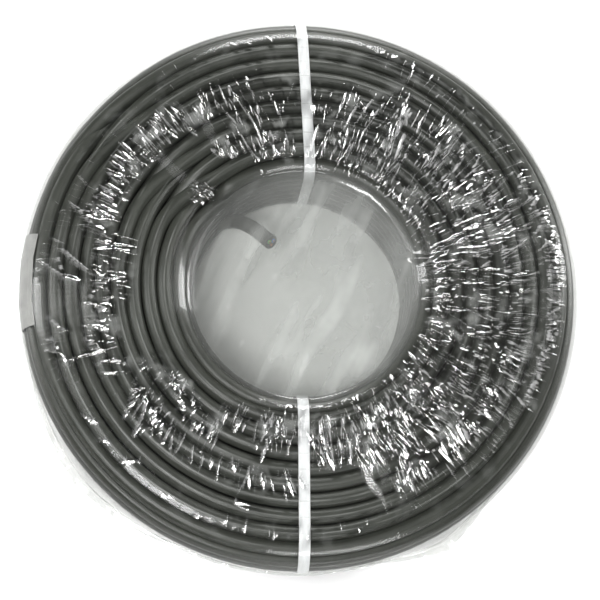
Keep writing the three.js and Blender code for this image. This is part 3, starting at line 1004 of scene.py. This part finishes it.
class Sheet:
    """Wrinkles of one sheet of the film, all from one seed."""

    def __init__(self, seed, strength, pleats, extra_folds):
        self.strength = strength
        self.pleats = pleats
        self.fine = WrappedNoise(seed + 1, 300, 26)
        self.warp = WrappedNoise(seed + 2, 46, 9)
        self.swell = WrappedNoise(seed + 4, 16, 5)
        self.folds = [fold for index, field in enumerate(FOLD_FIELDS)
                      for fold in self.field_folds(seed + 100 + index, *field)]
        self.folds += extra_folds

    def field_folds(self, seed, start, end, inner, outer, spacing, lean, rise):
        """Folds side by side in a field, uneven in length, spacing, lean and height."""
        rng = np.random.default_rng(seed)
        middle = (inner + outer) / 2
        step = math.degrees(spacing / middle)
        folds = []
        angle = start
        while angle < end:
            angle += step * rng.uniform(*STEP_RANGE)
            if rng.random() < GAP_CHANCE:
                angle += step * rng.uniform(*GAP_RANGE)
            odd = rng.random() < ODD_LEAN_CHANCE
            lean_here = lean + rng.normal(0, ODD_LEAN if odd else USUAL_LEAN)
            length = (outer - inner) * rng.uniform(*LENGTH_RANGE)
            centre = middle + (outer - inner - length) * rng.uniform(-0.5, 0.5)
            centre += rng.normal(0, PLACE_SPREAD)
            turn = math.radians(angle)
            heading = turn + math.radians(lean_here)
            x, y = centre * math.cos(turn), centre * math.sin(turn)
            dx, dy = length / 2 * math.cos(heading), length / 2 * math.sin(heading)
            width_here = FOLD_WIDTH * rng.uniform(*WIDTH_RANGE)
            rise_here = rise * MM * rng.uniform(*RISE_RANGE)
            bow = rng.normal(0, BOW_SPREAD) * length * MM
            folds.append(Fold(((x - dx) * MM, (y - dy) * MM), ((x + dx) * MM, (y + dy) * MM),
                              width_here, rise_here, bow))
        return folds

    def density(self, angle, reach):
        """1 in the close fields of folds and 0 between all fields, with soft edges."""
        degrees = np.degrees(angle) % 360
        total = np.zeros_like(angle)
        for start, end, inner, outer, spacing, _, _ in FOLD_FIELDS:
            middle = (start + end) / 2
            aside = np.abs((degrees - middle + 180) % 360 - 180) - (end - start) / 2
            beyond = abs(reach / MM - (inner + outer) / 2) - (outer - inner) / 2
            inside = (smoothstep(1 - (aside + FIELD_INSET[0]) / FIELD_EDGE[0])
                      * smoothstep(1 - (beyond + FIELD_INSET[1]) / FIELD_EDGE[1]))
            total = np.maximum(total, inside * min(1, CLOSE_SPACING / spacing))
        return total

    def main_pleats(self, angle, reach):
        """Height of the part's main pleats at a distance from the axis."""
        along = min(1, (reach - MAIN_PLEAT_START) / (MAIN_PLEAT_CREST[0] - MAIN_PLEAT_START),
                    (MAIN_PLEAT_END - reach) / (MAIN_PLEAT_END - MAIN_PLEAT_CREST[1]))
        height = np.zeros_like(angle)
        if along <= 0:
            return height
        for centre, rise in MAIN_PLEATS:
            aside = np.abs(angle_between(angle, math.radians(centre))) * reach
            height = np.maximum(height, rise * MM * smoothstep(along - aside / (MAIN_PLEAT_WIDTH / 2)))
        return height

    def displacement(self, distance, angle):
        """Height of the wrinkles above the smooth bag, and how pleated and creased the film is."""
        if distance < PROFILE.face_end:
            reach = float(PROFILE.place(distance)[0])
        else:
            reach = RIM_CORNER[0] + distance - PROFILE.face_end
        share = distance / PROFILE.total
        density = self.density(angle, reach)
        warped = angle + (self.warp(angle, share) - 0.5) * FINE_WARP
        height = FINE_FOLD * density * ridged(self.fine(warped, share), 1.5)
        height += SWELL_HEIGHT * self.swell(angle, share) ** 2 * smoothstep(distance / SWELL_START)
        if self.pleats:
            height += self.main_pleats(angle, reach)
        x = reach * np.cos(angle)
        y = reach * np.sin(angle)
        folded = np.zeros_like(angle)
        for fold in self.folds:
            if fold.span[0] < reach < fold.span[1]:
                folded += fold.height(x, y)
        creased = np.clip(folded / CREASE_HEIGHT, 0, 1)
        creased = creased * smoothstep((CREASES_TO[0] - reach / MM) / CREASES_TO[1])
        creased *= smoothstep((reach / MM - CREASES_FROM[0]) / CREASES_FROM[1])
        return (height + folded) * self.strength, density, creased


def ear_reach(angle):
    """How far the bag's ears stick out at an angle."""
    reach = np.zeros_like(angle)
    for centre, out, spread in EARS:
        share = np.abs(angle_between(angle, math.radians(centre))) / math.radians(spread)
        reach = np.maximum(reach, out * np.clip(1 - share, 0, 1))
    return reach


# Rings of a sheet's mesh: how many span the bore, lie closer at its edge, and run down the rim,
# and the spacing of those between, where the folds are
BORE_RINGS = 16
COARSE_RINGS = 6
HALF_FULL_FROM = 12
WALL_RINGS = 9
RING_SPACING = 2.9 * MM
FULL_RINGS_PAST_FACE = 18 * MM


def ring_plan(full):
    """(distance, points round) of the sheet's rings from near the axis out to the seam."""
    plan = []
    for i in range(1, BORE_RINGS):
        count = full // 8 if i < COARSE_RINGS else full // 4 if i < HALF_FULL_FROM else full // 2
        plan.append((PROFILE.bore_edge * i / BORE_RINGS, count))
    start = PROFILE.bore_edge
    end = PROFILE.face_end + FULL_RINGS_PAST_FACE
    rings = round((end - start) / RING_SPACING)
    plan += [(start + (end - start) * i / rings, full) for i in range(rings + 1)]
    wall = PROFILE.total - end
    plan += [(end + wall * i / WALL_RINGS, full // 2) for i in range(1, WALL_RINGS + 1)]
    return plan


def ring_angles(count):
    return TAU * (np.arange(count) + 0.5) / count


def ring_points(radius, angle, height):
    return np.stack([radius * np.cos(angle), radius * np.sin(angle), height], 1)


def bag_rings(sheet, full):
    """The sheet's rings of points, and for each ring its rows pleated, creased and stand_off."""
    rings = []
    rows = []
    for distance, count in ring_plan(full):
        angle = ring_angles(count)
        radius, height, out, up = PROFILE.at(distance)
        rise, density, crease = sheet.displacement(distance, angle)
        down_wall = smoothstep((distance - PROFILE.face_end) / (PROFILE.total - PROFILE.face_end))
        ear = ear_reach(angle) * EAR_ON_SHEET * down_wall ** 2
        rings.append(ring_points(radius + out * rise + ear, angle, height + up * rise))
        over_bore = smoothstep((PROFILE.bore_edge + FREE_PAST_EDGE - distance) / FREE_FADE)
        lifted = np.minimum(rise / FREE_RISE, FREE_RISE_MOST)
        free = np.clip(over_bore + lifted + ear / FREE_EAR, 0, 1)
        rows.append(np.stack([density, crease, free]))
    return rings, rows


def fin_rings(last_ring, wave):
    """The welded fin outside the last ring, wavy where it stands free at the bag's ears."""
    angle = ring_angles(len(last_ring))
    foot = np.hypot(last_ring[:, 0], last_ring[:, 1])
    rings = []
    for share in FIN_SHARES:
        reach = SEAM_FIN * (0.6 + 0.8 * wave(angle, 0.2)) + ear_reach(angle) * (1 - EAR_ON_SHEET)
        swing = share * (wave(angle, 0.7) - 0.5) * (FIN_SWING + EAR_SWING * ear_reach(angle))
        height = MID_HEIGHT + SEAM_RISE * (1 - share) + swing
        rings.append(ring_points(foot + share * reach, angle, height))
    return rings


def film_sheet(name, node, seed, full, below, strength, extra_folds, material):
    """One sheet of the bag as a fine mesh, wrinkles and all, with its fin at the seam."""
    rings, rows = bag_rings(Sheet(seed, strength, not below, extra_folds), full)
    for ring in fin_rings(rings[-1], WrappedNoise(seed + 9, 70, 3)):
        rings.append(ring)
        rows.append(np.repeat([FIN_ATTRIBUTES], len(ring), axis=0).T)
    centre = np.array([[0, 0, np.mean(rings[0][:, 2])]])
    points = np.concatenate([centre, *rings])
    starts = np.cumsum([1] + [len(r) for r in rings])
    faces = [[0, 1 + i, 1 + (i + 1) % len(rings[0])] for i in range(len(rings[0]))]
    for index in range(len(rings) - 1):
        faces += ring_faces(starts[index], len(rings[index]), starts[index + 1], len(rings[index + 1]))
    if below:
        points[:, 2] = np.maximum(2 * MID_HEIGHT - points[:, 2], FLOOR_GAP)
        faces = [face[::-1] for face in faces]
    piece = mesh_piece(name, points, faces, material, replaces=[node])
    values = np.concatenate([np.array([CENTRE_ATTRIBUTES]).T, *rows], axis=1)
    for key, row in zip(("pleated", "creased", "stand_off"), values):
        attribute = piece.data.attributes.new(key, "FLOAT", "POINT")
        attribute.data.foreach_set("value", row.astype(np.float32))


def ring_faces(a, n, b, m):
    """Faces between a ring of n points at a and a ring of m points at b: equal, half or double."""
    if n == m:
        return [[a + i, b + i, b + (i + 1) % m, a + (i + 1) % n] for i in range(n)]
    if m == 2 * n:
        faces = []
        for i in range(n):
            right = a + (i + 1) % n
            faces.append([a + i, b + 2 * i, b + 2 * i + 1])
            faces.append([a + i, b + 2 * i + 1, right])
            faces.append([right, b + 2 * i + 1, b + (2 * i + 2) % m])
        return faces
    return [face[::-1] for face in ring_faces(b, m, a, n)]


# Stage

FLOOR_REACH = 6.0
FLOOR_COLOUR = (0.92, 0.92, 0.92, 1)
WORLD_STRENGTH = 0.03

# Soft boxes: name, direction from the coil, distance, width, height and power in watts. The low
# ones draw crisp lines along the creases, the key lights the floor in the bore, and the two
# above the sides light the turns without being mirrored in the flat film.
SOFT_BOXES = [
    ("left_box", (-1.0, 0.1, 0.45), 1.5, 0.3, 0.8, 11),
    ("right_box", (1.0, 0.3, 0.45), 1.5, 0.3, 0.8, 15),
    ("far_box", (0.05, 1.0, 0.5), 1.5, 0.8, 0.3, 19),
    ("near_box", (0.2, -1.0, 0.5), 1.5, 0.8, 0.3, 9),
    ("key_box", (-0.38, -0.45, 1.65), 1.75, 0.4, 0.4, 17),
    ("top_left_box", (-1.05, 0.15, 1.5), 1.9, 0.6, 1.6, 8),
    ("top_right_box", (1.25, 0.3, 1.5), 2.0, 0.6, 1.6, 10),
]

# The photograph's view: down on the coil from a little to the near left
CAMERA_PLACE = (-0.077, -0.195, 1.069)
CAMERA_TARGET = (0.0010, -0.0030, 0.050)
FOCAL_PIXELS = 1222
FRAME_PIXELS = 600
SENSOR_WIDTH = 36


def floor():
    nodes = Nodes("floor")
    shader = nodes.add("ShaderNodeBsdfPrincipled", {"Base Color": FLOOR_COLOUR, "Roughness": 0.9})
    mesh = bpy.data.meshes.new("floor")
    corners = [(-1, -1), (1, -1), (1, 1), (-1, 1)]
    mesh.from_pydata([(x * FLOOR_REACH, y * FLOOR_REACH, 0) for x, y in corners], [], [(0, 1, 2, 3)])
    mesh.materials.append(nodes.finish(shader.outputs["BSDF"]))
    plane = bpy.data.objects.new("floor", mesh)
    bpy.context.scene.collection.objects.link(plane)


def studio_world():
    world = bpy.data.worlds.new("studio")
    world.use_nodes = True
    background = world.node_tree.nodes["Background"]
    background.inputs["Color"].default_value = (1.0, 1.0, 1.0, 1)
    background.inputs["Strength"].default_value = WORLD_STRENGTH
    bpy.context.scene.world = world


def soft_box(name, direction, distance, width, height, power):
    """A rectangular studio light that looks at the coil from a direction."""
    light = bpy.data.lights.new(name, "AREA")
    light.shape = "RECTANGLE"
    light.size = width
    light.size_y = height
    light.energy = power
    lamp = bpy.data.objects.new(name, light)
    target = Vector((0, 0, MID_HEIGHT))
    lamp.location = target + Vector(direction).normalized() * distance
    lamp.rotation_euler = (target - lamp.location).to_track_quat("-Z", "Y").to_euler()
    bpy.context.scene.collection.objects.link(lamp)


def camera():
    place = Vector(CAMERA_PLACE)
    target = Vector(CAMERA_TARGET)
    data = bpy.data.cameras.new("camera")
    data.sensor_width = SENSOR_WIDTH
    data.lens = FOCAL_PIXELS / FRAME_PIXELS * SENSOR_WIDTH
    data.clip_start = 0.05
    data.clip_end = 20
    eye = bpy.data.objects.new("camera", data)
    back = (place - target).normalized()
    right = (-back).cross(Vector((0, 1, 0))).normalized()
    up = back.cross(right)
    turn = Matrix((right, up, back)).transposed()
    eye.matrix_world = Matrix.Translation(place) @ turn.to_4x4()
    bpy.context.scene.collection.objects.link(eye)
    bpy.context.scene.camera = eye


camera()
floor()
studio_world()
for box in SOFT_BOXES:
    soft_box(*box)
bpy.context.scene.view_settings.view_transform = "Standard"

SHEATH = sheath_material()
FILLER = plain_plastic("filler", (0.02, 0.02, 0.02), 0.7)
CORE_COLOURS = [
    plain_plastic("core_brown", (0.16, 0.06, 0.03), 0.4),
    plain_plastic("core_blue", (0.04, 0.16, 0.42), 0.4),
    plain_plastic("core_green", (0.10, 0.36, 0.08), 0.4),
]
COPPER = copper_material()
STRAPPING = strapping_material()
PAPER = paper_material()
CLEAR_FILM = film_material("shrink_film")

cable()
strap("strap_far_band", "strap_far", 1, -3 * MM, 5 * MM)
strap("strap_near_band", "strap_near", -1, 0, -1 * MM)
own_folds = [Fold((x1 * MM, y1 * MM), (x2 * MM, y2 * MM), width * MM, rise * MM)
             for (x1, y1), (x2, y2), width, rise in BORE_FOLDS + SINGLE_FOLDS]
film_sheet("film_top", "film_top_sheet", 40, 1536, False, 1.0, own_folds, CLEAR_FILM)
film_sheet("film_bottom", "film_bottom_sheet", 60, 960, True, 0.8, [], CLEAR_FILM)

label_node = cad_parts["label"]
label_node.data.materials.clear()
label_node.data.materials.append(PAPER)
